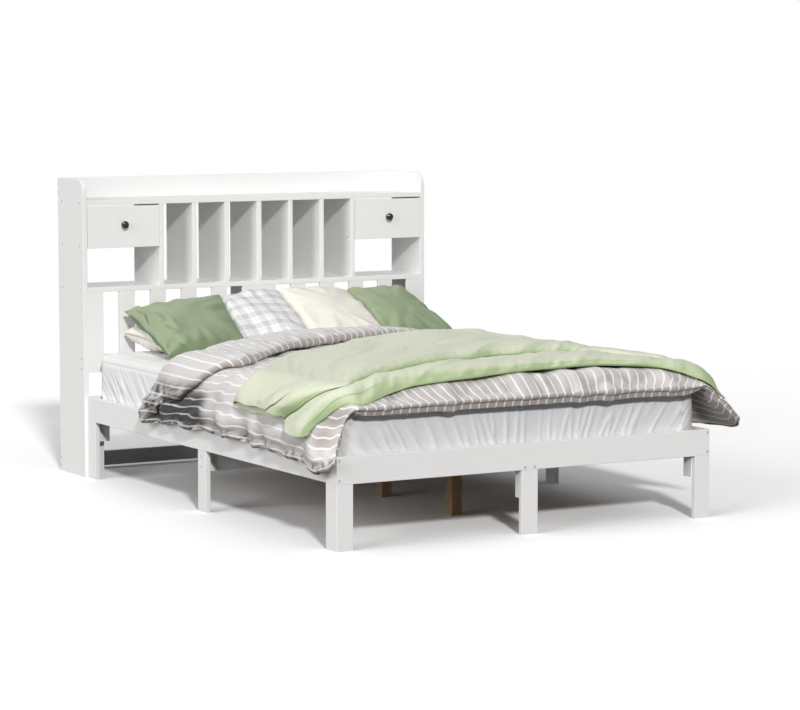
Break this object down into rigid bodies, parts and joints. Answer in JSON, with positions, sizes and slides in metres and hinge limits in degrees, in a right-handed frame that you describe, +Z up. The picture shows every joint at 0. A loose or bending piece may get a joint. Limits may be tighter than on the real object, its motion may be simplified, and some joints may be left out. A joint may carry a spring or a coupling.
{
  "type": "bookcase headboard bed",
  "caption": "White painted pine double bed whose headboard is an open bookcase with upright slots, end cubbies and two knobbed drawers; made up with mattress, striped duvet, throw and cushions.",
  "frame": {"origin": "on the floor, at the middle of the bed frame's length and width, at the centre of the foot of the middle centre leg", "axes": "+Z up, +Y from the foot towards the headboard, +X to the right seen from the foot"},
  "size_m": [1.6449, 2.225, 1.12],
  "materials": {
    "white_paint": "satin white paint over pine, faint grain",
    "bare_pine": "planed pine, unfinished",
    "zinc_steel": "zinc plated",
    "black_knob": "gloss black",
    "mattress_ticking": "woven ticking",
    "white_sheet": "plain cotton",
    "striped_cotton": "woven cotton, grey-brown with thin white stripes",
    "green_throw": "soft woven cotton",
    "sage_cotton": "plain cotton",
    "cream_cotton": "plain cotton",
    "plaid_cotton": "white cotton with a pale grey check"
  },
  "bodies": {
    "bed": {"back_slats_left": "white_paint", "back_slats_right": "white_paint", "bed_slats": "bare_pine", "bookcase_screws": "zinc_steel", "centre_beam": "bare_pine", "centre_legs": "bare_pine", "centre_panel": "white_paint", "corner_blocks": "white_paint", "corner_leg_foot_left": "white_paint", "corner_leg_foot_right": "white_paint", "corner_leg_head_left": "white_paint", "corner_leg_head_right": "white_paint", "cream_cushion_centre": "cream_cotton", "cream_cushion_left": "cream_cotton", "cross_beam": "white_paint", "dowels": "bare_pine", "drawer_shelf_left": "white_paint", "drawer_shelf_right": "white_paint", "duvet": "striped_cotton", "fitted_sheet": "white_sheet", "foot_middle_leg": "white_paint", "foot_rail": "white_paint", "frame_bolts": "zinc_steel", "green_cushion_left": "sage_cotton", "green_cushion_right": "sage_cotton", "head_rail": "white_paint", "leg_cleats": "white_paint", "lower_shelf": "white_paint", "mattress": "mattress_ticking", "middle_leg_left": "white_paint", "middle_leg_right": "white_paint", "plaid_cushion": "plaid_cotton", "rear_stretchers": "white_paint", "side_panel_left": "white_paint", "side_panel_right": "white_paint", "side_rail_left": "white_paint", "side_rail_right": "white_paint", "slat_ledge_left": "white_paint", "slat_ledge_right": "white_paint", "slat_rail_left": "white_paint", "slat_rail_right": "white_paint", "slot_dividers": "white_paint", "throw": "green_throw", "top_back_board": "white_paint", "top_shelf": "white_paint"},
    "drawer_left": {"drawer_back_left": "bare_pine", "drawer_bottom_left": "bare_pine", "drawer_front_left": "white_paint", "drawer_side_left_a": "bare_pine", "drawer_side_left_b": "bare_pine", "knob_left": "black_knob", "knob_screw_left": "zinc_steel"},
    "drawer_right": {"drawer_back_right": "bare_pine", "drawer_bottom_right": "bare_pine", "drawer_front_right": "white_paint", "drawer_side_right_a": "bare_pine", "drawer_side_right_b": "bare_pine", "knob_right": "black_knob", "knob_screw_right": "zinc_steel"}
  },
  "joints": [
    {"name": "drawer_left_slide", "type": "slide", "parent": "bed", "child": "drawer_left", "axis": [0, -1, 0], "range_m": [0, 0.15]},
    {"name": "drawer_right_slide", "type": "slide", "parent": "bed", "child": "drawer_right", "axis": [0, -1, 0], "range_m": [0, 0.15]}
  ]
}
